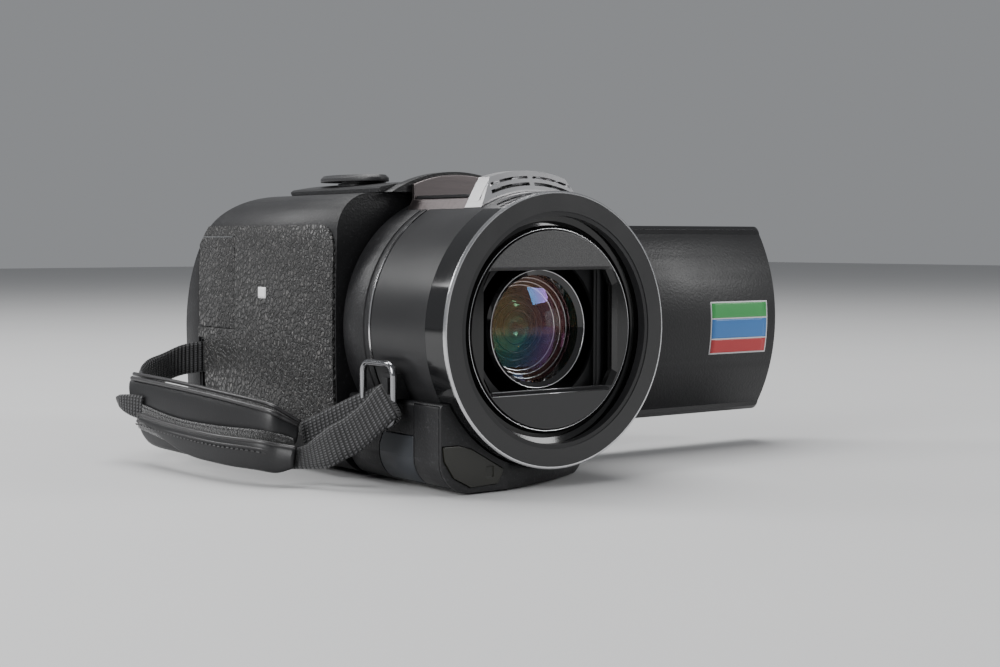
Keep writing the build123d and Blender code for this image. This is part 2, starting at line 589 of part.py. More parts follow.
with BuildPart() as shoe_well:
    with BuildSketch(across(SHOE_REAR)):
        with BuildLine():
            Polyline((-16.2, 66.2), (-14.2, 70.0), (14.2, 70.0), (16.2, 66.2), (14, 64.4), (-14, 64.4),
                     close=True)
        make_face()
    extrude(amount=SHOE_REAR - SHOE_FRONT)
    box_at((-12.4, SHOE_FRONT + 1.2, 65.6), (12.4, -21.2, 75), Mode.SUBTRACT)
    with BuildPart(mode=Mode.PRIVATE) as rear_wall:
        ring_of((30, -20.7), (38.6, -20.7), (38.6, SHOE_REAR), (30, SHOE_REAR))
        box_at((-14.2, -21, 69.9), (14.2, -19, 90), Mode.INTERSECT)
    add(rear_wall.part)
save(shoe_well, "shoe_well")

RAIL_FRONT, RAIL_REAR = -43.4, -22.6
with BuildPart() as shoe_rails:
    box_at((-11.6, RAIL_FRONT, 65.6), (11.6, RAIL_REAR, 66.4))
    for way in (1, -1):
        box_at((min(way * 9.35, way * 10.7), RAIL_FRONT, 66.4),
               (max(way * 9.35, way * 10.7), RAIL_REAR, 69.6))
        box_at((min(way * 6.3, way * 10.7), RAIL_FRONT, 68.5),
               (max(way * 6.3, way * 10.7), RAIL_REAR, 69.6))
    box_at((-3, RAIL_REAR - 1.4, 66.4), (3, RAIL_REAR, 68.2))
save(shoe_rails, "shoe_rails")

with BuildPart() as shoe_cover:
    box_at((-13.9, SHOE_FRONT + 0.2, 70.2), (13.9, -21.4, 70.9))
    fillet(edges().filter_by(Axis.Z).group_by(Axis.Y)[0], 1.5)
    box_at((-6, -40.6, 70.85), (6, -39.8, 71.4))
save(shoe_cover, "shoe_cover")

# ---- controls ---------------------------------------------------------------------------------------
with BuildPart() as zoom_lever:
    rod_at((ZOOM_X, ZOOM_Y, 73.6), 7.0, 2.6, "Z")
    with BuildSketch(Plane.XY.offset(75.4)):
        with Locations((ZOOM_X - 3.0, ZOOM_Y)):
            Ellipse(7.0, 13.5)
    extrude(amount=1.7)
    chamfer(faces().sort_by(Axis.Z)[-1].edges(), 0.8)
    rod_at((ZOOM_X, ZOOM_Y, 75), 6.0, 1.2, "Z")
save(zoom_lever, "zoom_lever")

with BuildPart() as photo_button:
    rod_at((PHOTO_X, PHOTO_Y, 70.6), 4.0, 4.4, "Z")
    chamfer(edges().filter_by(GeomType.CIRCLE).sort_by(Axis.Z)[-1:], 0.4)
save(photo_button, "photo_button")

with BuildPart() as start_stop_button:
    rod_at((-21, 68.6, 42), 5.6, 4.4, "Y")
    fillet(edges().filter_by(GeomType.CIRCLE).sort_by(Axis.Y)[-1:], 0.8)
save(start_stop_button, "start_stop_button")

with BuildPart() as mode_button:
    rod_at((-21, 68.8, 27), 2.6, 3.2, "Y")
    fillet(edges().filter_by(GeomType.CIRCLE).sort_by(Axis.Y)[-1:], 0.5)
save(mode_button, "mode_button")

for name, (y, z) in BAY_BUTTONS.items():
    with BuildPart() as button:
        rod_at((23.8, y, z), 3.1, 2.2, "X")
        fillet(edges().filter_by(GeomType.CIRCLE).sort_by(Axis.X)[-1:], 0.3)
    save(button, name)

with BuildPart() as battery_release:
    box_at((4, 66.0, 4.2), (12, 69.7, 9.8))
    box_at((6.5, 69.7, 5.2), (9.5, 71.4, 8.8))
    box_at((3, 64.6, 4.2), (13, 66.0, 9.8))
save(battery_release, "battery_release")

# ---- battery ----------------------------------------------------------------------------------------
with BuildPart() as battery_plate:
    box_at((-5, BATTERY_FACE, 22), (20, BATTERY_FACE + 0.8, 56))
    for x in (-3, 17):
        box_at((x - 1.2, BATTERY_FACE + 0.8, 24), (x + 1.2, BATTERY_FACE + 2.2, 50))
        box_at((x - 2.4, BATTERY_FACE + 2.2, 24), (x + 2.4, BATTERY_FACE + 3.2, 50))
    for x in (4.5, 7.5, 10.5):
        box_at((x - 0.4, BATTERY_FACE + 0.8, 25), (x + 0.4, BATTERY_FACE + 2.4, 31))
save(battery_plate, "battery_plate")

BATTERY_FRONT = BATTERY_FACE + 1.0
with BuildPart() as battery_pack:
    box_at((BATTERY_LEFT, BATTERY_FRONT, BATTERY_BOTTOM),
           (BATTERY_LEFT + BATTERY_X, 93.0, BATTERY_BOTTOM + BATTERY_Z))
    fillet(edges().filter_by(Axis.Z).group_by(Axis.Y)[-1], 4)
    fillet(edges().filter_by(Axis.Z).group_by(Axis.Y)[0], 1)
    for x in (-3, 17):
        box_at((x - 2.7, 50, 10), (x + 2.7, BATTERY_FACE + 3.5, 50.6), Mode.SUBTRACT)
    box_at((3, 50, 10), (12, BATTERY_FACE + 2.8, 31.6), Mode.SUBTRACT)
save(battery_pack, "battery_pack")

# ---- flip-out screen --------------------------------------------------------------------------------
with BuildPart() as hinge_bracket:
    box_at((20.6, -26.4, 12), (22.4, -18, 61))
    for low, high in ((15.0, 21.0), (52.0, 58.0)):
        box_at((22.4, -25.6, low), (SWING_X, -18.0, high))
        rod_at((SWING_X, SWING_Y, (low + high) / 2), 4.1, high - low, "Z")
    rod_at((SWING_X, SWING_Y, LENS_Z), 2.06, 60, "Z", Mode.SUBTRACT)
save(hinge_bracket, "hinge_bracket")

with BuildPart() as lcd_arm:
    rod_at((SWING_X, SWING_Y, LCD_MID_Z), 4.1, 30.4, "Z")
    rod_at((SWING_X, SWING_Y, LCD_MID_Z), 2.0, 42.0, "Z")
    box_at((SWING_X, -25.6, LCD_MID_Z - 8), (LCD_NEAR - 0.4, LCD_MID_Y + 4.2, LCD_MID_Z + 8))
    rod_at(((LCD_NEAR + 42) / 2, LCD_MID_Y, LCD_MID_Z), 3.0, 42 - LCD_NEAR + 1, "X")
save(lcd_arm, "lcd_arm")

SHELL_EDGE, SHELL_LOW, SHELL_HIGH = -22.6, 11.6, 61.4


def back_shell_section(inset, x):
    low, high, edge = SHELL_LOW + inset, SHELL_HIGH - inset, SHELL_EDGE
    with BuildSketch(side(x)) as section:
        with BuildLine():
            ThreePointArc((edge, high), (LCD_BACK + inset, LCD_MID_Z), (edge, low))
            Line((edge, low), (edge, high))
        make_face()
    return section.sketch


with BuildPart() as lcd_back_cover:
    extrude(back_shell_section(0.0, LCD_NEAR), amount=LCD_FAR - LCD_NEAR)
    chamfer(edges().filter_by(GeomType.CIRCLE).group_by(Axis.X)[-1], 1.2)
    extrude(back_shell_section(1.8, LCD_NEAR + 9), amount=LCD_FAR - LCD_NEAR - 11, mode=Mode.SUBTRACT)
    rod_at((LCD_NEAR + 4, LCD_MID_Y, LCD_MID_Z), 3.08, 9, "X", Mode.SUBTRACT)
save(lcd_back_cover, "lcd_back_cover")

BEZEL_REAR = SHELL_EDGE + 0.15
SCREEN_LOW, SCREEN_HIGH = (38.0, 16.4), (106.4, 56.8)      # (x, z)
with BuildPart() as lcd_bezel:
    box_at((LCD_NEAR, BEZEL_REAR, LCD_BOTTOM), (LCD_FAR, LCD_FACE, LCD_TOP))
    fillet(edges().filter_by(Axis.Y), 2.5)
    chamfer(faces().sort_by(Axis.Y)[0].edges(), 1.0)
    chamfer(faces().sort_by(Axis.Y)[-1].edges(), 0.3)
    box_at((SCREEN_LOW[0], -18.0, SCREEN_LOW[1]), (SCREEN_HIGH[0], -10, SCREEN_HIGH[1]), Mode.SUBTRACT)
    box_at((46, BEZEL_REAR - 1, 14), (104, -18.8, 59), Mode.SUBTRACT)
    rod_at((LCD_NEAR + 4, LCD_MID_Y, LCD_MID_Z), 3.08, 9, "X", Mode.SUBTRACT)
save(lcd_bezel, "lcd_bezel")

with BuildPart() as lcd_screen:
    box_at((SCREEN_LOW[0] + 0.1, -18.0, SCREEN_LOW[1] + 0.1),
           (SCREEN_HIGH[0] - 0.1, LCD_FACE - 0.2, SCREEN_HIGH[1] - 0.1))
save(lcd_screen, "lcd_screen")

# ---- strap ------------------------------------------------------------------------------------------
with BuildPart() as strap_ring:
    with BuildLine():
        FilletPolyline((-35.4, RING_Y[0], RING_Z[0]), (-35.4, RING_Y[0], RING_Z[1]),
                       (-35.4, RING_Y[1], RING_Z[1]), (-35.4, RING_Y[1], RING_Z[0]),
                       radius=2.6, close=True)
    with BuildSketch(Plane(origin=(-35.4, (RING_Y[0] + RING_Y[1]) / 2, RING_Z[0]), z_dir=(0, 1, 0))):
        Circle(0.85)
    sweep()
save(strap_ring, "strap_ring")

# The strap's two anchors: a bracket that holds the wire loop, and a slotted block at the rear.
with BuildPart() as strap_anchors:
    box_at((-34.4, -41.8, 21.7), (-28.0, -37.0, 27.8))
    tube_at(-50, -10, HOOD_R + 0.15, mode=Mode.SUBTRACT)
    box_at((-36.4, -42.4, 22.0), (-34.4, -40.0, 27.0))
    box_at((-40, -44.0, 19), (-34.4, -42.3, 27), Mode.SUBTRACT)
    box_at((-34.0, 56.8, 12.2), (-28.5, 61.0, 31.8))
    box_at((-40, 57.6, 12.8), (-30.9, 60.4, 31.2), Mode.SUBTRACT)
save(strap_anchors, "strap_anchors")


def strap_band(points, thick, height):
    """A band standing on edge along a smooth line through points on its middle."""
    with BuildLine() as line:
        Spline(*points)
    start = Plane(origin=line.line @ 0, x_dir=(0, 0, 1), z_dir=line.line % 0)
    with BuildSketch(start) as section:
        Rectangle(height, thick)
    with BuildPart() as band:
        sweep(section.sketch, path=line.line)
    return band


WEBBINGS = {     # name: (thickness, height, points)
    "strap_webbing_rear": (1.6, 9.2, ((-31.2, 59.0, 26.0), (-34.4, 59.0, 26.0), (-38.4, 60.0, 25.7),
                                      (-43.2, 61.4, 24.7), (-49.4, 59.9, 22.9), (-54.8, 55.2, 20.8),
                                      (-57.6, 50.4, 19.0))),
    "strap_webbing_front": (2.6, 11.0, ((-38.3, -42.0, 19.4), (-41.6, -36.2, 15.4), (-45.4, -28.6, 10.8),
                                        (-48.6, -21.6, 8.4))),
}
for name, (thick, height, points) in WEBBINGS.items():
    save(strap_band(points, thick, height), name)

PADS = {         # name: (low, high, inner line in plan, outer line in plan)
    "strap_pad_inner": (3.8, 22.2, ((-48.2, -16.4), (-51.8, -11.8), (-55.6, 3.2), (-57.8, 24.0), (-58.4, 47.6)),
                        ((-50.6, -18.8), (-55.0, -13.4), (-58.8, 2.8), (-61.0, 24.0), (-61.6, 47.6))),
    "strap_pad_outer": (3.2, 12.4, ((-57.2, -11.6), (-60.1, -1.2), (-62.4, 18.0), (-63.2, 36.0)),
                        ((-58.8, -12.2), (-61.8, -1.6), (-64.2, 18.0), (-65.0, 36.0))),
}
for name, (low, high, inner, outer) in PADS.items():
    with BuildPart() as pad:
        with BuildSketch(Plane.XY.offset(low)):
            with BuildLine():
                Spline(*inner)
                Line(inner[-1], outer[-1])
                Spline(*outer)
                Line(outer[0], inner[0])
            make_face()
        extrude(amount=high - low)
    save(pad, name)

# ---- manual dial and screws -------------------------------------------------------------------------
with BuildPart() as manual_dial:
    with BuildSketch(side(DIAL_X - 1.5)):
        with Locations((DIAL_Y, DIAL_Z)):
            Circle(DIAL_R)
            with PolarLocations(DIAL_R + 0.1, 20):
                Circle(0.4, mode=Mode.SUBTRACT)
    extrude(amount=3.4)
    rod_at((DIAL_X - 3.0, DIAL_Y, DIAL_Z), 1.3, 4, "X")
save(manual_dial, "manual_dial")

with BuildPart() as screws:
    for x, y in ((-15, -38), (12, -38), (-15, 46), (12, 46)):
        rod_at((x, y, 0.6), 1.9, 0.6, "Z")
        rod_at((x, y, 2.6), 0.9, 4.4, "Z")
        box_at((x - 0.3, y - 1.1, 0.2), (x + 0.3, y + 1.1, 0.6), Mode.SUBTRACT)
        box_at((x - 1.1, y - 0.3, 0.2), (x + 1.1, y + 0.3, 0.6), Mode.SUBTRACT)
save(screws, "screws")
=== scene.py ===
"""Camcorder: the looks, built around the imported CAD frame. Metres, +Z up, the lens looks along -Y."""
import math

import bmesh
import bpy
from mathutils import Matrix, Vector


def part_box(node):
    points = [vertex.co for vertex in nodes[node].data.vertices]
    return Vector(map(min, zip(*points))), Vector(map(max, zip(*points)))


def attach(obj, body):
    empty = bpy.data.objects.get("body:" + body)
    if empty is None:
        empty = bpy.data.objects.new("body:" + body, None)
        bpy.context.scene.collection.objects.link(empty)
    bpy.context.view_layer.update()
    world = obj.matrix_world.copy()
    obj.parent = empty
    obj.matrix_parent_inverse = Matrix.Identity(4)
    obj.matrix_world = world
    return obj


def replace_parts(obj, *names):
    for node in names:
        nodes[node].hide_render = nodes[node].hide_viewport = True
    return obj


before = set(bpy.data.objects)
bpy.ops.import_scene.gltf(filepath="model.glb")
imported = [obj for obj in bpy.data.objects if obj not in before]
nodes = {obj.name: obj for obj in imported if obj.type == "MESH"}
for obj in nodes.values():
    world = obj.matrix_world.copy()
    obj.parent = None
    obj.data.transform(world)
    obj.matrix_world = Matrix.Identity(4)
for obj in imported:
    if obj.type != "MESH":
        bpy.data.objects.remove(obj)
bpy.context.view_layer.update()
MM = 0.001
hood_low, hood_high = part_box("hood_ring")
LENS_AXIS_Z = (hood_low.z + hood_high.z) / 2
HOOD_FACE_Y = hood_low.y

CAMERA_PLACE = (-244.1, -367.0, 59.7)      # millimetres
CAMERA_YAW, CAMERA_PITCH = 36.58, 3.29     # degrees to the right of +Y, and down
SENSOR_WIDTH, FOCAL_LENGTH = 36.0, 58.54   # millimetres
FLOOR_SIZE, FLOOR_GAP = 6.0, 0.0002        # metres

CORD_PITCH, ROW_PITCH = 0.00118, 0.00070   # the webbing's cords and the rows of knots across them, metres
WELD_DISTANCE, EDGE_ANGLE = 0.000005, math.radians(38)


def mm(*point):
    """A point given in millimetres, in metres."""
    return Vector(point) * MM


# ---- camera, lights and floor -----------------------------------------------------------------------
def make_camera():
    data = bpy.data.cameras.new("camera")
    data.sensor_width, data.lens = SENSOR_WIDTH, FOCAL_LENGTH
    data.clip_start, data.clip_end = 0.02, 20.0
    camera = bpy.data.objects.new("camera", data)
    bpy.context.scene.collection.objects.link(camera)
    camera.location = mm(*CAMERA_PLACE)
    yaw, pitch = math.radians(CAMERA_YAW), math.radians(CAMERA_PITCH)
    forward = Vector((math.sin(yaw) * math.cos(pitch), math.cos(yaw) * math.cos(pitch), -math.sin(pitch)))
    camera.rotation_mode = "QUATERNION"
    camera.rotation_quaternion = forward.to_track_quat("-Z", "Y")
    bpy.context.scene.camera = camera


def area_light(name, place, target, size, power):
    """A white rectangular softbox, size in metres and power in watts."""
    data = bpy.data.lights.new(name, "AREA")
    data.shape, data.size, data.size_y = "RECTANGLE", size[0], size[1]
    data.energy = power
    light = bpy.data.objects.new(name, data)
    bpy.context.scene.collection.objects.link(light)
    light.location = place
    light.rotation_mode = "QUATERNION"
    light.rotation_quaternion = (Vector(target) - Vector(place)).to_track_quat("-Z", "Y")


def make_lights():
    aim = (0.0, 0.0, 0.04)
    area_light("soft_left", (-0.95, -0.15, 0.42), aim, (0.5, 0.5), 9)
    area_light("soft_top", (0.05, 0.25, 1.1), aim, (0.9, 0.7), 14)
    area_light("soft_right", (0.75, -0.75, 0.45), aim, (0.35, 0.35), 4)
    area_light("soft_rear_left", (-0.52, 0.60, 0.56), (0.0, -0.03, 0.05), (0.26, 0.42), 3)
    world = bpy.data.worlds.new("studio")
    bpy.context.scene.world = world
    world.use_nodes = True
    background = world.node_tree.nodes["Background"]
    background.inputs["Color"].default_value = (0.75, 0.77, 0.8, 1)
    background.inputs["Strength"].default_value = 0.35


# ---- material helpers -------------------------------------------------------------------------------
class Surface:
    """A node material with a Principled shader, and short ways to add grain and colour variation."""

    def __init__(self, name, colour, rough, metal=0.0, **sockets):
        self.material = bpy.data.materials.new(name)
        self.material.use_nodes = True
        self.tree = self.material.node_tree
        self.shader = self.tree.nodes["Principled BSDF"]
        self.shader.inputs["Base Color"].default_value = (*colour, 1)
        self.shader.inputs["Roughness"].default_value = rough
        self.shader.inputs["Metallic"].default_value = metal
        for socket, value in sockets.items():
            self.shader.inputs[socket.replace("_", " ")].default_value = value
        self.colour = colour
        self.space = self.tree.nodes.new("ShaderNodeTexCoord").outputs["Object"]
        self.bump_out = None

    def node(self, kind, **values):
        """A new shader node: values name its sockets, or else its settings."""
        made = self.tree.nodes.new("ShaderNode" + kind)
        for name, value in values.items():
            if name in made.inputs:
                made.inputs[name].default_value = value
            else:
                setattr(made, name, value)
        return made

    def link(self, out, into):
        self.tree.links.new(out, into)

    def mapped(self, scale):
        """Object coordinates stretched by a scale along each axis."""
        node = self.node("Mapping", Scale=scale)
        self.link(self.space, node.inputs["Vector"])
        return node.outputs["Vector"]

    def noise(self, per_metre, detail=3.0, rough=0.55, vector=None):
        """Cloudy noise with so many features per metre."""
        node = self.node("TexNoise", Scale=per_metre, Detail=detail, Roughness=rough)
        self.link(vector or self.space, node.inputs["Vector"])
        return node.outputs["Fac"]

    def cells(self, per_metre, feature="F1", vector=None):
        """Irregular cells: the distance to their points, or to their edges."""
        node = self.node("TexVoronoi", feature=feature, Scale=per_metre)
        self.link(vector or self.space, node.inputs["Vector"])
        return node.outputs["Distance"]

    def ranged(self, out, low, high, to_low=0.0, to_high=1.0):
        """Maps low to high onto to_low to to_high, clamped at both ends."""
        node = self.tree.nodes.new("ShaderNodeMapRange")
        for i, value in enumerate((low, high, to_low, to_high)):
            node.inputs[i + 1].default_value = value
        self.link(out, node.inputs[0])
        return node.outputs[0]

    def maths(self, operation, a, b=0.0):
        """One Math node, with numbers or outputs as its operands."""
        node = self.tree.nodes.new("ShaderNodeMath")
        node.operation = operation
        for i, value in enumerate((a, b)):
            if isinstance(value, (int, float)):
                node.inputs[i].default_value = value
            else:
                self.link(value, node.inputs[i])
        return node.outputs[0]

    def bump(self, height, depth, strength=1.0):
        """Adds one layer of relief, depth metres high."""
        node = self.node("Bump", Distance=depth, Strength=strength)
        self.link(height, node.inputs["Height"])
        if self.bump_out is not None:
            self.link(self.bump_out, node.inputs["Normal"])
        self.bump_out = node.outputs["Normal"]
        self.link(self.bump_out, self.shader.inputs["Normal"])

    def tint(self, factor, other):
        """Mixes the base colour towards another by a factor that varies over the surface."""
        node = self.tree.nodes.new("ShaderNodeMix")
        node.data_type = "RGBA"
        socket = self.shader.inputs["Base Color"]
        first, second = [slot for slot in node.inputs if slot.type == "RGBA"][:2]
        if socket.is_linked:
            self.link(socket.links[0].from_socket, first)
        else:
            first.default_value = (*self.colour, 1)
        second.default_value = (*other, 1)
        self.link(factor, node.inputs[0])
        self.link([slot for slot in node.outputs if slot.type == "RGBA"][0], socket)

    def coordinate(self, axis):
        """One of the object coordinates, X, Y or Z."""
        node = self.tree.nodes.new("ShaderNodeSeparateXYZ")
        self.link(self.space, node.inputs[0])
        return node.outputs[axis]

    def radius(self):
        """Distance from the lens axis."""
        side, up = self.coordinate("X"), self.maths("SUBTRACT", self.coordinate("Z"), LENS_AXIS_Z)
        squares = self.maths("ADD", self.maths("MULTIPLY", side, side), self.maths("MULTIPLY", up, up))
        return self.maths("SQRT", squares)

    def roughen(self, factor, low, high):
        """Lets the roughness run from low to high with a factor."""
        self.link(self.ranged(factor, 0.0, 1.0, low, high), self.shader.inputs["Roughness"])


# ---- materials --------------------------------------------------------------------------------------
def moulded(name, colour, rough, grain, depth, speckle):
    """Fine-textured black moulded plastic: an orange-peel grain, pale specks and a slow change in sheen."""
    s = Surface(name, colour, rough, Specular_IOR_Level=0.42)
    grains = s.noise(grain, 2.0, 0.5)
    s.bump(grains, depth, 0.55)
    specks = s.ranged(s.noise(grain * 0.8, 1.0, 0.4), 0.62, 0.78)
    s.tint(s.maths("MULTIPLY", specks, speckle), tuple(min(1.0, c * 5 + 0.03) for c in colour))
    s.tint(s.ranged(s.noise(45, 3.0), 0.35, 0.75, 0.0, 0.4), tuple(c * 0.6 for c in colour))
    s.roughen(s.noise(60, 3.0), rough - 0.07, rough + 0.1)
    return s.material


def smooth(name, colour, rough, metal=0.0, wear=0.05, **sockets):
    """Painted or polished surface with faint smudges and a little fine grain."""
    s = Surface(name, colour, rough, metal, **sockets)
    s.roughen(s.noise(120, 4.0, 0.6), max(rough - wear * 0.5, 0.02), rough + wear)
    s.tint(s.ranged(s.noise(30, 2.0), 0.4, 0.8, 0.0, 0.35), tuple(min(1.0, c * 1.35 + 0.004) for c in colour))
    s.bump(s.noise(1500, 2.0), 0.000008, 0.35)
    return s.material


def brushed(name, colour, rough, direction=(900, 40, 900)):
    """Metal with fine lines; direction is how many features it has per metre along each axis."""
    s = Surface(name, colour, rough, 1.0)
    lines = s.noise(1.0, 2.0, 0.6, s.mapped(direction))
    s.roughen(lines, rough - 0.08, rough + 0.15)
    s.bump(lines, 0.00001, 0.4)
    s.tint(s.ranged(lines, 0.4, 0.7, 0.0, 0.5), tuple(c * 0.7 for c in colour))
    return s.material


def leather():
    """Pebbled leatherette: rounded cells crossed by finer wrinkles, with painted shade in the creases between the
    cells and painted glints on their tops.
    """
    s = Surface("leather", (0.007, 0.007, 0.007), 0.45, Specular_IOR_Level=0.6)
    warp = s.node("TexNoise", Scale=420.0, Detail=2.0)
    s.link(s.space, warp.inputs["Vector"])
    shift = s.node("VectorMath", operation="MULTIPLY_ADD")
    shift.inputs[1].default_value = (0.0016, 0.0016, 0.0016)    # how far the cells are pulled about, metres
    s.link(warp.outputs["Color"], shift.inputs[0])
    s.link(s.space, shift.inputs[2])
    bent = shift.outputs[0]
    pebbles = s.ranged(s.cells(720, "DISTANCE_TO_EDGE", bent), 0.0, 0.20)
    s.bump(pebbles, 0.00034, 1.0)
    s.bump(s.cells(2100, vector=bent), 0.00008, 0.6)
    # Painted shade: the creases between the pebbles are left darker than the pebble tops.
    s.tint(s.ranged(pebbles, 0.25, 1.0), (0.026, 0.025, 0.025))
    # Painted glints: pale flecks on the pebble tops stand in for highlights.
    painted_glints = s.maths("MULTIPLY", s.ranged(pebbles, 0.55, 1.0), s.ranged(s.noise(900, 3.0), 0.5, 0.7))
    s.tint(s.maths("MULTIPLY", painted_glints, 0.8), (0.15, 0.145, 0.14))
    s.roughen(pebbles, 0.68, 0.33)
    return s.material


def webbing():
    """Woven nylon: cords across the band, crossed by rows of paler knots, with painted shade in the grooves between
    the cords.
    """
    s = Surface("webbing", (0.009, 0.009, 0.010), 0.7, Sheen_Weight=0.15, Sheen_Roughness=0.4)
    parts = s.tree.nodes.new("ShaderNodeSeparateXYZ")
    s.link(s.tree.nodes.new("ShaderNodeTexCoord").outputs["UV"], parts.inputs[0])

    def ridges(out, pitch):
        return s.maths("ABSOLUTE", s.maths("SINE", s.maths("MULTIPLY", out, math.pi / pitch)))

    cords, rows = ridges(parts.outputs["X"], CORD_PITCH), ridges(parts.outputs["Y"], ROW_PITCH)
    knots = s.maths("MULTIPLY", cords, rows)
    s.bump(s.maths("ADD", s.maths("MULTIPLY", knots, 0.5), s.maths("MULTIPLY", cords, 0.5)), 0.0004, 1.0)
    s.tint(s.ranged(knots, 0.6, 0.95, 0.0, 0.8), (0.085, 0.085, 0.09))
    # Painted shade: the grooves between the cords are darkened.
    s.tint(s.ranged(cords, 0.05, 0.4, 1.0, 0.0), (0.0015, 0.0015, 0.0015))
    s.roughen(s.noise(300, 2.0), 0.6, 0.85)
    return s.material


def loops():
    """The looped side of a hook and loop tape: a short, tangled pile."""
    s = Surface("loops", (0.010, 0.010, 0.010), 0.9, Sheen_Weight=0.5, Sheen_Roughness=0.5)
    s.bump(s.cells(2400), 0.0003, 1.0)
    s.bump(s.noise(4200, 3.0, 0.7), 0.00015, 0.8)
    s.tint(s.ranged(s.noise(2600, 3.0, 0.7), 0.52, 0.7), (0.13, 0.13, 0.13))
    return s.material


def hood():
    """Gloss black hood: its flat front face is satin grey, the rest is polished."""
    s = Surface("hood", (0.007, 0.007, 0.0075), 0.08, Specular_IOR_Level=0.6)
    face = s.ranged(s.coordinate("Y"), HOOD_FACE_Y + 0.0001, HOOD_FACE_Y + 0.0003, 1.0, 0.0)
    s.tint(face, (0.014, 0.014, 0.0145))
    grain = s.noise(5000, 2.0)
    s.tint(s.maths("MULTIPLY", face, s.ranged(grain, 0.5, 0.8)), (0.034, 0.034, 0.035))
    s.bump(s.maths("MULTIPLY", face, grain), 0.00002, 0.5)
    smudges = s.ranged(s.noise(90, 3.0), 0.4, 0.8, 0.0, 0.06)
    s.link(s.maths("ADD", s.ranged(face, 0.0, 1.0, 0.06, 0.30), smudges), s.shader.inputs["Roughness"])
    return s.material


def mask():
    """Mask round the lens cover: grainy above the opening, smooth below it, polished at its edge."""
    s = Surface("mask", (0.006, 0.006, 0.006), 0.34, Specular_IOR_Level=0.55)
    off_axis = s.maths("ABSOLUTE", s.maths("SUBTRACT", s.coordinate("Z"), LENS_AXIS_Z))
    plate = s.maths("MULTIPLY", s.ranged(s.radius(), 0.0238, 0.0241, 1.0, 0.0), s.ranged(off_axis, 0.0143, 0.0145))
    above = s.maths("MULTIPLY", plate, s.ranged(s.coordinate("Z"), LENS_AXIS_Z, LENS_AXIS_Z + 0.002))
    grain = s.noise(3600, 3.0, 0.6)
    s.tint(plate, (0.022, 0.022, 0.023))
    s.tint(s.maths("MULTIPLY", above, s.ranged(grain, 0.40, 0.62, 0.35, 1.0)), (0.085, 0.084, 0.084))
    s.bump(s.maths("MULTIPLY", above, grain), 0.00008, 0.9)
    s.bump(s.noise(1800, 2.0), 0.00001, 0.3)
    rough = s.maths("ADD", s.ranged(plate, 0.0, 1.0, 0.08, 0.32), s.ranged(above, 0.0, 1.0, 0.0, 0.16))
    s.link(rough, s.shader.inputs["Roughness"])
    return s.material


def coated(name, film, colour, **sockets):
    """Glass element with an anti-reflection coating that tints its highlights."""
    s = Surface(name, colour, 0.0, Thin_Film_Thickness=film, Thin_Film_IOR=1.38, **sockets)
    s.tint(s.ranged(s.noise(60, 2.0), 0.4, 0.8, 0.0, 0.3), tuple(c * 0.8 for c in colour))
    return s.material


MOULDED = {      # colour, roughness, grains per metre, depth of the grain in metres, strength of the specks
    "cover": ((0.010, 0.010, 0.011), 0.42, 1700, 0.00014, 0.4),
    "cover_fine": ((0.011, 0.011, 0.012), 0.40, 1500, 0.00012, 0.1),
    "barrel": ((0.017, 0.017, 0.018), 0.31, 4200, 0.000015, 0.12),
    "inside": ((0.008, 0.008, 0.009), 0.5, 2600, 0.00003, 0.1),
    "button": ((0.030, 0.030, 0.032), 0.40, 3000, 0.00002, 0.2),
    "battery": ((0.020, 0.020, 0.022), 0.40, 3000, 0.00002, 0.2),
    "pad": ((0.011, 0.011, 0.012), 0.42, 1900, 0.00005, 0.1),
}
SMOOTH = {       # colour, roughness, then metal and wear where they aren't the usual ones
    "chrome": ((0.75, 0.74, 0.75), 0.14, 1.0),
    "dark_chrome": ((0.30, 0.30, 0.31), 0.12, 1.0),
    "grille": ((0.80, 0.79, 0.80), 0.27, 1.0),
    "rim": ((0.62, 0.62, 0.63), 0.20, 1.0),
    "leaf": ((0.014, 0.014, 0.015), 0.26),
    "ir": ((0.018, 0.018, 0.014), 0.30),
    "phones": ((0.020, 0.023, 0.028), 0.40),
    "red": ((0.22, 0.012, 0.012), 0.35),
    "board": ((0.015, 0.08, 0.035), 0.4),
    "bezel": ((0.010, 0.010, 0.011), 0.22),
    "cord": ((0.030, 0.029, 0.030), 0.30),
    "white": ((0.72, 0.72, 0.73), 0.5),
    "sticker_green": ((0.06, 0.36, 0.10), 0.28),
    "sticker_blue": ((0.05, 0.20, 0.52), 0.28),
    "sticker_red": ((0.48, 0.035, 0.04), 0.28),
}
MATERIALS = {
    **{name: moulded(name, *recipe) for name, recipe in MOULDED.items()},
    **{name: smooth(name, *recipe) for name, recipe in SMOOTH.items()},
    "gloss": smooth("gloss", (0.006, 0.006, 0.0065), 0.07, wear=0.04, Coat_Weight=0.6, Coat_Roughness=0.03),
    "screen": smooth("screen", (0.004, 0.004, 0.005), 0.08, wear=0.03, Coat_Weight=0.5),
    "steel": brushed("steel", (0.42, 0.42, 0.43), 0.35),
    # Painted reflection: the shoe well's brownish grey, brushed colour stands in for a reflection on gloss black
    # plastic.
    "shoe": brushed("shoe", (0.17, 0.15, 0.15), 0.30, (30, 900, 900)),
    "hood": hood(),
    "mask": mask(),
    "leather": leather(),
    "webbing": webbing(),
    "loops": loops(),
    "front_glass": coated("front_glass", 470.0, (0.95, 0.95, 0.95), Transmission_Weight=1.0, IOR=1.22),
    "inner_glass": coated("inner_glass", 540.0, (0.004, 0.005, 0.003), IOR=1.28),
    "rear_glass": coated("rear_glass", 330.0, (0.008, 0.004, 0.012), Specular_IOR_Level=0.6),
}

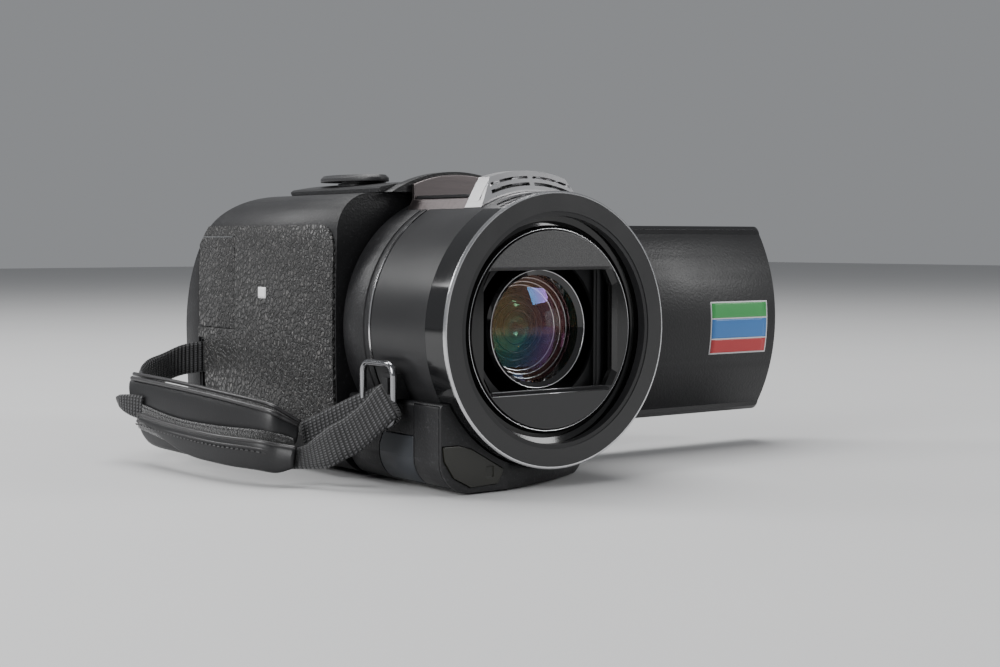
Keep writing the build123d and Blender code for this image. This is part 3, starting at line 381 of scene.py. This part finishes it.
NODE_MATERIALS = {
    "cover": ("right_cover", "left_cover", "rear_cover", "top_cover", "front_cover", "bottom_plate", "card_door",
              "jack_door", "strap_anchors"),
    "cover_fine": ("lcd_back_cover", "lcd_arm", "shoe_cover"),
    "barrel": ("barrel_sleeve", "filter_thread_ring"),
    "gloss": ("lens_barrel",),
    "hood": ("hood_ring",),
    "shoe": ("shoe_well",),
    "mask": ("lens_mask",),
    "inside": ("chassis_frame", "gimbal_ring"),
    "chrome": ("barrel_trim", "shoe_rails"),
    "grille": ("mic_grille",),
    "dark_chrome": ("strap_ring",),
    "rim": ("hood_edge_trim",),
    "leaf": ("upper_inner_leaf", "upper_outer_leaf", "lower_inner_leaf", "lower_outer_leaf"),
    "steel": ("hinge_bracket", "tripod_socket", "screws", "card_slot", "mic_capsules", "speaker"),
    "leather": ("grip_panel", "connector_door"),
    "ir": ("ir_window",),
    "phones": ("headphone_cover",),
    "button": ("zoom_lever", "photo_button", "mode_button", "power_button", "play_button", "manual_dial",
               "battery_release", "jack_sockets", "battery_plate"),
    "red": ("start_stop_button",),
    "board": ("image_sensor", "main_board"),
    "battery": ("battery_pack",),
    "bezel": ("lcd_bezel",),
    "screen": ("lcd_screen",),
    "webbing": ("strap_webbing_front", "strap_webbing_rear"),
    "pad": ("strap_pad_inner", "strap_pad_outer"),
    "front_glass": ("front_glass",),
    "rear_glass": ("zoom_lens_group",),
}

SOFT_EDGES = {     # bevel width in millimetres
    0.5: ("right_cover", "left_cover", "rear_cover", "battery_pack"),
    0.25: ("front_cover", "top_cover", "lcd_back_cover", "lcd_bezel", "jack_door", "headphone_cover", "ir_window",
           "shoe_well", "shoe_cover", "zoom_lever", "card_door", "connector_door", "grip_panel", "bottom_plate",
           "battery_release"),
}


def paint_nodes():
    """Gives each CAD node its material."""
    for name, members in NODE_MATERIALS.items():
        for member in members:
            data = nodes[member].data
            data.materials.clear()
            data.materials.append(MATERIALS[name])


def soften_edges():
    """Rounds the CAD edges a little, so that they catch the light as moulded ones do."""
    for width, members in SOFT_EDGES.items():
        for member in members:
            weld = nodes[member].modifiers.new("weld", "WELD")
            weld.merge_threshold = WELD_DISTANCE
            bevel = nodes[member].modifiers.new("bevel", "BEVEL")
            bevel.width, bevel.segments = width * MM, 2
            bevel.limit_method, bevel.angle_limit = "ANGLE", EDGE_ANGLE
            bevel.harden_normals = True


def make_floor():
    """A plain pale floor just under the base."""
    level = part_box("bottom_plate")[0].z - FLOOR_GAP
    bpy.ops.mesh.primitive_plane_add(size=FLOOR_SIZE, location=(0, 0, level))
    floor = bpy.context.object
    floor.name = "floor"
    s = Surface("floor", (0.55, 0.55, 0.55), 0.75)
    s.tint(s.ranged(s.noise(12, 4.0), 0.3, 0.8, 0.0, 0.3), (0.50, 0.50, 0.51))
    s.bump(s.noise(220, 4.0), 0.0002, 0.2)
    floor.data.materials.append(s.material)


# ---- mesh helpers -----------------------------------------------------------------------------------
def through(points, per_span=16):
    """A Catmull-Rom curve through points given in millimetres."""
    knots = [mm(*point) for point in points]
    knots = [2 * knots[0] - knots[1], *knots, 2 * knots[-1] - knots[-2]]
    line = []
    for a, b, c, d in zip(knots, knots[1:], knots[2:], knots[3:]):
        for step in range(per_span):
            t = step / per_span
            line.append(0.5 * (2 * b + (c - a) * t + (2 * a - 5 * b + 4 * c - d) * t * t
                               + (3 * b - a - 3 * c + d) * t ** 3))
    return [*line, knots[-2]]


def even(line, count):
    """The same line as count points, evenly spaced along it."""
    lengths = [0.0]
    for a, b in zip(line, line[1:]):
        lengths.append(lengths[-1] + (b - a).length)
    made, k = [], 0
    for i in range(count):
        reach = lengths[-1] * i / (count - 1)
        while k < len(line) - 2 and lengths[k + 1] < reach:
            k += 1
        t = (reach - lengths[k]) / max(lengths[k + 1] - lengths[k], 1e-9)
        made.append(line[k].lerp(line[k + 1], min(max(t, 0.0), 1.0)))
    return made


def piece(name, bm, material, body="body"):
    """Turns a bmesh into a smooth-shaded piece that rides on a body."""
    bmesh.ops.recalc_face_normals(bm, faces=bm.faces)
    mesh = bpy.data.meshes.new(name)
    bm.to_mesh(mesh)
    bm.free()
    mesh.materials.append(MATERIALS[material])
    for polygon in mesh.polygons:
        polygon.use_smooth = True
    made = bpy.data.objects.new(name, mesh)
    bpy.context.scene.collection.objects.link(made)
    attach(made, body)
    return made


def skin(outlines, closed=False):
    """A closed mesh over rings of points, with its two ends capped unless it closes on itself."""
    bm = bmesh.new()
    rings = [[bm.verts.new(point) for point in outline] for outline in outlines]
    pairs = list(zip(rings, rings[1:])) + ([(rings[-1], rings[0])] if closed else [])
    for a, b in pairs:
        for i in range(len(a)):
            j = (i + 1) % len(a)
            bm.faces.new((a[i], a[j], b[j], b[i]))
    if not closed:
        bm.faces.new(rings[0])
        bm.faces.new(rings[-1])
    return bm


def band(upper, lower, thick, along, across, crown=0.0):
    """A flat band between two edge lines, thick in millimetres and crowned, with UVs in metres."""
    top, bottom = even(through(upper), along), even(through(lower), along)
    rings = []
    for i in range(along):
        before, after = max(i - 1, 0), min(i + 1, along - 1)
        forward = top[after] + bottom[after] - top[before] - bottom[before]
        normal = forward.cross(top[i] - bottom[i]).normalized()
        ring = []
        for side in (1, -1):
            for k in range(across + 1):
                v = k / across if side > 0 else 1 - k / across
                round_edge = math.sqrt(max(1.0 - abs(2 * v - 1) ** 6, 0.02))
                proud = (thick / 2 * round_edge + crown * math.sin(math.pi * v)) * MM
                ring.append(bottom[i].lerp(top[i], v) + side * normal * proud)
        rings.append(ring)
    bm = skin(rings)
    bm.verts.index_update()
    uv, ring_size = bm.loops.layers.uv.new("along_and_across"), 2 * (across + 1)
    step = sum((b - a).length for a, b in zip(top, top[1:])) / (along - 1)
    width = sum((b - a).length for a, b in zip(bottom, top)) / along
    for face in bm.faces:
        for corner in face.loops:
            i, k = divmod(corner.vert.index, ring_size)
            v = k / across if k <= across else 2 - (k - 1) / across
            corner[uv].uv = (i * step, v * width)
    return bm


def tube(line, radius, sides=10):
    """A round cord along a line, radius in millimetres."""
    rings = []
    side = (line[1] - line[0]).orthogonal().normalized()
    for i, point in enumerate(line):
        forward = (line[min(i + 1, len(line) - 1)] - line[max(i - 1, 0)]).normalized()
        side = (side - forward * side.dot(forward)).normalized()
        up = forward.cross(side)
        turns = [2 * math.pi * k / sides for k in range(sides)]
        rings.append([point + (side * math.cos(a) + up * math.sin(a)) * radius * MM for a in turns])
    return skin(rings)


def lathe(profile, start=0.0, turn=360.0, sides=96):
    """A profile of (radius, y) millimetres turned about the lens axis. Zero degrees is up."""
    whole = turn >= 360.0
    steps = sides if whole else max(int(sides * turn / 360.0), 2) + 1
    rings = []
    for i in range(steps):
        angle = math.radians(start + turn * i / (sides if whole else steps - 1))
        rings.append([Vector((r * MM * math.sin(angle), y * MM, LENS_AXIS_Z + r * MM * math.cos(angle)))
                      for r, y in profile])
    return skin(rings, closed=whole)


def slab(low, high, bevel):
    """A block between two corners in millimetres, with its edges rounded."""
    bm = bmesh.new()
    bmesh.ops.create_cube(bm, size=1.0)
    a, b = mm(*low), mm(*high)
    for vert in bm.verts:
        vert.co = Vector([a[k] + (b[k] - a[k]) * (vert.co[k] + 0.5) for k in range(3)])
    bmesh.ops.bevel(bm, geom=bm.edges[:], offset=bevel * MM, segments=2, affect="EDGES")
    return bm


# ---- hand strap -------------------------------------------------------------------------------------
def shifted(points, x=0.0, z=0.0):
    """The same line moved sideways and up, in millimetres."""
    return [(a + x, b, c + z) for a, b, c in points]


# Edge lines of the strap's bands, in millimetres. The loop's webbing runs in behind the wire loop, round its
# front leg and back out over itself, and its end lies behind the flap.
LOOP_TOP = [(-45.0, -16.1, 14.8), (-41.4, -21.2, 17.8), (-37.6, -26.4, 21.0), (-34.4, -31.0, 23.4),
            (-33.8, -36.0, 25.0), (-35.0, -39.2, 25.5), (-37.0, -38.8, 24.8), (-40.5, -37.3, 20.7),
            (-43.0, -33.2, 17.1), (-45.0, -30.6, 15.3), (-46.5, -27.1, 12.8), (-48.0, -23.5, 10.0),
            (-50.4, -18.6, 8.6)]
LOOP_BOTTOM = [(-45.2, -19.6, 4.4), (-41.6, -26.4, 7.4), (-37.9, -33.4, 11.2), (-34.6, -39.4, 14.2),
               (-34.2, -43.6, 16.6), (-35.4, -46.6, 18.0), (-37.2, -46.4, 17.4), (-39.6, -43.0, 13.4),
               (-42.0, -39.2, 9.6), (-44.6, -35.8, 7.4), (-46.6, -32.4, 5.4), (-48.6, -26.6, 4.6),
               (-50.6, -20.6, 4.0)]
REAR_TOP = [(-31.0, 58.9, 30.6), (-34.5, 59.0, 30.6), (-39.8, 61.3, 29.7), (-45.9, 61.2, 27.5),
            (-51.8, 58.0, 26.2), (-56.6, 52.4, 24.4), (-58.4, 47.0, 23.0)]
REAR_BOTTOM = [(-31.0, 58.9, 21.8), (-34.9, 59.0, 21.8), (-39.9, 61.3, 21.0), (-45.0, 61.0, 19.4),
               (-51.4, 57.4, 16.6), (-56.4, 51.6, 13.6), (-58.6, 46.0, 12.0)]
PIPE_INNER = [(-58.8, 46.0, 22.7), (-60.0, 48.5, 23.1), (-59.5, 25.6, 22.7), (-57.5, 4.3, 21.5), (-53.5, -13.7, 19.7),
              (-50.4, -17.0, 17.6), (-46.5, -18.3, 15.0)]
PIPE_OUTER = [(-61.6, 46.9, 22.2), (-61.0, 22.4, 21.6), (-59.0, 1.4, 20.5), (-55.0, -16.5, 18.4),
              (-51.6, -18.6, 16.6), (-47.5, -19.0, 14.4)]
PAD_TOP = [(-60.9, 49.0, 21.6), (-60.6, 46.0, 22.1), (-60.2, 24.0, 21.8), (-58.2, 2.8, 20.7), (-54.2, -15.0, 18.8),
           (-51.0, -17.8, 16.9), (-47.2, -18.6, 14.6)]
PAD_BOTTOM = [(-60.6, 45.0, 12.0), (-60.2, 40.0, 5.4), (-60.0, 22.0, 4.4), (-58.0, 2.0, 4.4), (-54.0, -13.0, 4.8),
              (-51.2, -16.6, 6.4), (-48.0, -18.2, 9.6)]
TAPE_TOP = [(-62.6, 41.0, 16.2), (-62.6, 39.4, 15.9), (-62.3, 18.5, 13.9), (-60.7, -1.3, 13.6),
            (-57.0, -14.6, 13.6), (-52.6, -19.6, 12.6), (-50.2, -21.4, 11.6)]
FLAP_TOP = [(-64.0, 37.0, 12.9), (-64.0, 36.1, 13.2), (-63.2, 18.5, 12.0), (-61.4, -1.4, 11.2), (-57.6, -15.6, 10.9),
            (-53.4, -20.2, 10.0), (-50.6, -23.4, 9.4)]
FLAP_BOTTOM = [(-63.8, 35.6, 12.4), (-63.6, 32.4, 10.6), (-62.4, 14.4, 5.4), (-60.0, -2.3, 4.0),
               (-56.6, -14.2, 3.6), (-53.8, -19.4, 3.2), (-51.2, -23.0, 4.4)]
STUB_TOP = [(-64.4, 50.6, 17.2), (-64.8, 47.0, 17.9), (-63.4, 42.0, 18.2), (-62.2, 38.3, 18.0)]
STUB_BOTTOM = [(-64.3, 49.6, 15.4), (-64.6, 46.6, 13.6), (-63.6, 42.0, 12.2), (-62.4, 38.6, 11.8)]


def make_strap():
    """The two webbings, the padded strap, the flap over it, and the tape between them."""
    loop = band(LOOP_TOP, LOOP_BOTTOM, 1.2, 220, 12)
    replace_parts(piece("strap_loop_webbing", loop, "webbing"), "strap_webbing_front")
    rear = band(REAR_TOP, REAR_BOTTOM, 1.2, 170, 12)
    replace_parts(piece("strap_rear_webbing", rear, "webbing"), "strap_webbing_rear")
    inner = band(PAD_TOP, PAD_BOTTOM, 1.6, 90, 18, crown=0.9)
    inner_pad = piece("strap_inner_pad", inner, "pad")
    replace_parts(inner_pad, "strap_pad_inner")
    flap = band(FLAP_TOP, FLAP_BOTTOM, 1.0, 90, 14, crown=0.5)
    outer_flap = piece("strap_outer_flap", flap, "pad")
    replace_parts(outer_flap, "strap_pad_outer")
    tape = band(TAPE_TOP, shifted(TAPE_TOP, z=-7.0, x=0.2), 0.5, 160, 10)
    piece("strap_loop_tape", tape, "loops")
    stub = band(STUB_TOP, STUB_BOTTOM, 1.1, 40, 10)
    piece("strap_webbing_end", stub, "webbing")
    cords = {"inner_piping": (PIPE_INNER, 0.55), "outer_piping": (PIPE_OUTER, 0.6),
             "flap_piping": (FLAP_TOP, 0.55), "flap_edge": (shifted(FLAP_TOP, x=-0.5, z=-1.6), 0.28)}
    for name, (points, radius) in cords.items():
        piece("strap_" + name, tube(even(through(points), 120), radius), "cord")


def make_stitches(name, points, pitch=1.7, length=1.1):
    """A row of thread stitches laid along a line."""
    last = 399
    line = even(through(points), last + 1)
    total = sum((b - a).length for a, b in zip(line, line[1:])) / MM
    bm = bmesh.new()
    for k in range(int(total / pitch)):
        start = int(k * pitch / total * last)
        end = min(start + max(int(length / total * last), 2), last)
        stitch = tube(line[start:end + 1], 0.16, 6)
        mesh = bpy.data.meshes.new("stitch")
        stitch.to_mesh(mesh)
        stitch.free()
        bm.from_mesh(mesh)
        bpy.data.meshes.remove(mesh)
    piece(name, bm, "cord")


# ---- lens, hood, roof and small details -------------------------------------------------------------
def cord_ring(radius, y, thick):
    """Profile of a thin round ring about the lens axis."""
    turns = [math.pi * k / 4 for k in range(8)]
    return [(radius + thick * math.cos(a), y + thick * math.sin(a)) for a in turns]


def frame_ring(half_x, half_z, wall, front, rear):
    """A rectangular frame round the lens axis, with rounded inner corners."""

    def outline(x, z, corner):
        points = []
        for cx, cz, start in ((1, 1, 0), (-1, 1, 90), (-1, -1, 180), (1, -1, 270)):
            for k in range(5):
                a = math.radians(start + 22.5 * k)
                points.append((cx * (x - corner) + corner * math.cos(a), cz * (z - corner) + corner * math.sin(a)))
        return points

    inner, outer = outline(half_x, half_z, 1.2), outline(half_x + wall, half_z + wall, 1.6)
    rings = [[mm(x, y, 0) + Vector((0, 0, LENS_AXIS_Z + z * MM)) for x, z in points]
             for points, y in ((inner, front), (outer, front), (outer, rear), (inner, rear))]
    return skin(rings, closed=True)


def make_lens():
    """Rings and a domed element inside the lens, baffles behind the opening, and bright lines along its edges."""
    piece("lens_bezel_ring", lathe(cord_ring(14.45, -53.75, 0.16)), "rim", "lens_unit")
    for k, (radius, y) in enumerate(((12.3, -48.5), (11.2, -47.1), (10.2, -45.8))):
        piece(f"lens_stop_ring_{k + 1}", lathe(cord_ring(radius, y, 0.2)), "rim", "lens_unit")
    for k, (radius, y) in enumerate(((7.7, -44.2), (5.9, -44.75), (4.0, -45.15))):
        piece(f"lens_inner_ring_{k + 1}", lathe(cord_ring(radius, y, 0.13)), "barrel", "lens_unit")
    dome = [(0.02, -45.2), (3.0, -45.0), (6.0, -44.4), (8.4, -43.5), (8.6, -42.6), (0.02, -42.4)]
    piece("lens_second_element", lathe(dome), "inner_glass", "lens_unit")
    for k, (wide, high, front) in enumerate(((17.7, 15.0, -55.05), (17.1, 15.6, -54.5))):
        piece(f"lens_baffle_{k + 1}", frame_ring(wide, high, 2.2, front, front + 0.4), "inside")
    piece("opening_front_line", slab((-18.0, -59.5, 22.52), (18.0, -59.3, 22.78), 0.06), "rim")
    piece("opening_inner_line", slab((-17.4, -58.4, 23.42), (17.4, -58.1, 23.66), 0.06), "rim")
    piece("mask_edge_ring", lathe(cord_ring(24.5, -59.0, 0.12)), "rim")


def make_roof():
    """The dark foam behind the microphone slots."""
    foam = [(34.7, -50.0), (35.3, -50.0), (35.3, -46.5), (34.7, -46.5)]
    piece("mic_foam", lathe(foam, start=-17.0, turn=34.0), "loops")


def label(name, low, high, surface, material, body, steps=12):
    """A thin plain label laid on a surface, which gives a point for a place across, a height and a distance out."""
    bm = bmesh.new()
    front, back = [], []
    across = steps + 1
    for i in range(across):
        for k in range(across):
            u, z = low[0] + (high[0] - low[0]) * i / steps, low[1] + (high[1] - low[1]) * k / steps
            front.append(bm.verts.new(surface(u, z, 0.12)))
            back.append(bm.verts.new(surface(u, z, -0.05)))
    for i in range(steps):
        for k in range(steps):
            a = i * across + k
            quad = (a, a + 1, a + across + 1, a + across)
            bm.faces.new([front[n] for n in quad])
            bm.faces.new([back[n] for n in reversed(quad)])
    rim = ([*range(across)] + [i * across + steps for i in range(1, across)]
           + [steps * across + k for k in range(steps - 1, -1, -1)] + [i * across for i in range(steps - 1, 0, -1)])
    for a, b in zip(rim, rim[1:] + rim[:1]):
        bm.faces.new((front[a], back[a], back[b], front[b]))
    piece(name, bm, material, body)


def on_screen_back(x, z, proud):
    """A point on the rounded back of the screen's shell."""
    low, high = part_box("lcd_back_cover")
    peak, rise = low.y / MM, (high.y - low.y) / MM
    half, middle = (high.z - low.z) / 2 / MM, (high.z + low.z) / 2 / MM
    radius = (half * half + rise * rise) / (2 * rise)
    y = peak + radius - math.sqrt(radius * radius - (z - middle) ** 2)
    return mm(x, y - proud, z)


def on_grip(y, z, proud):
    """A point on the leather panel, which falls away slightly above and below its middle."""
    middle, fall = 36.0, 0.00086
    return mm(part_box("grip_panel")[0].x / MM + 0.02 + (z - middle) ** 2 * fall - proud, y, z)


def make_labels():
    """A blank label in three colours on the back of the screen, and a small white one on the leather."""
    for name, low_z, high_z in (("green", 37.3, 41.6), ("blue", 31.4, 36.9), ("red", 27.2, 31.0)):
        label("screen_label_" + name, (82.0, low_z), (104.0, high_z), on_screen_back, "sticker_" + name,
              "lcd_panel")
    label("screen_label_sheet", (81.6, 26.8), (104.4, 42.0), lambda x, z, proud: on_screen_back(x, z, proud - 0.05),
          "white", "lcd_panel")
    label("grip_label", (19.6, 44.1), (23.8, 47.1), on_grip, "white", "body", 4)


make_camera()
make_lights()
make_floor()
paint_nodes()
soften_edges()
make_strap()
make_stitches("strap_stitches_tape", shifted(TAPE_TOP, x=-0.35, z=-0.5))
make_stitches("strap_stitches_flap", shifted(FLAP_TOP, x=-0.75, z=-2.4))
make_lens()
make_roof()
make_labels()
